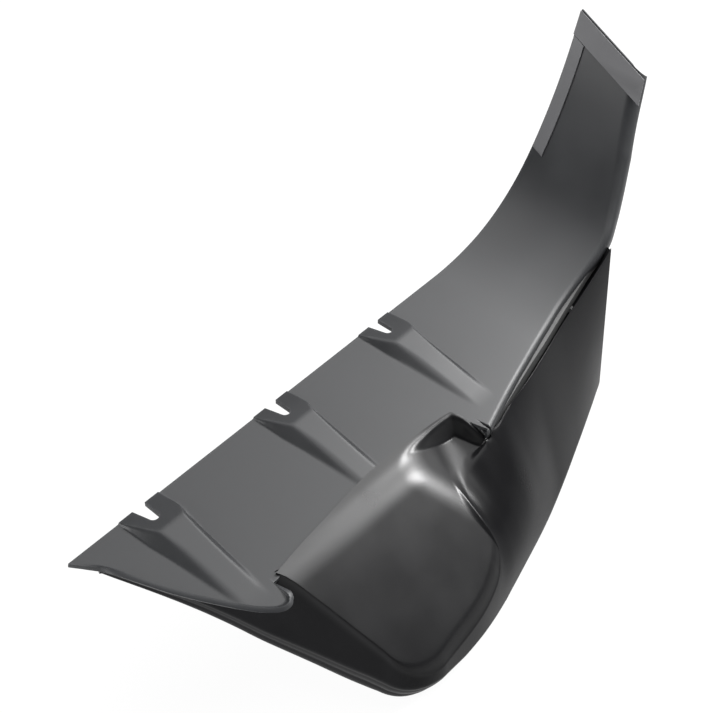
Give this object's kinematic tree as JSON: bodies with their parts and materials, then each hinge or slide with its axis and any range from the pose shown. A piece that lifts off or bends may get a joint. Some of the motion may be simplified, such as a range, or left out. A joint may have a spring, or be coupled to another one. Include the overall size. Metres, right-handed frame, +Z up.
{
  "type": "mud flap",
  "caption": "Rigid moulded corner mud flap: a notched wheel side panel with an upswept end, wrapped by a deep outer skin round the front corner.",
  "frame": {"origin": "axis of the middle open notch, at the top of its boss", "axes": "+X along the notched edge towards the upswept end, -Y across the panel to the outer skin, +Z up out of the boss top"},
  "size_m": [0.492, 0.1518, 0.2364],
  "materials": {
    "panel_plastic": "satin fine grain",
    "skin_plastic": "satin, slightly glossier than the panel",
    "web_plastic": "as moulded",
    "adhesive": "cured bead",
    "foam_tape": "matt"
  },
  "bodies": {
    "root": {"wheel_side_panel": "panel_plastic", "outer_skin": "skin_plastic", "rim_bead": "adhesive", "front_bead": "adhesive", "lap_bead_front": "adhesive", "lap_bead_rear": "adhesive", "end_tape_top": "foam_tape", "end_tape_side": "foam_tape", "web_front": "web_plastic", "web_middle": "web_plastic", "web_rear": "web_plastic"}
  },
  "joints": []
}
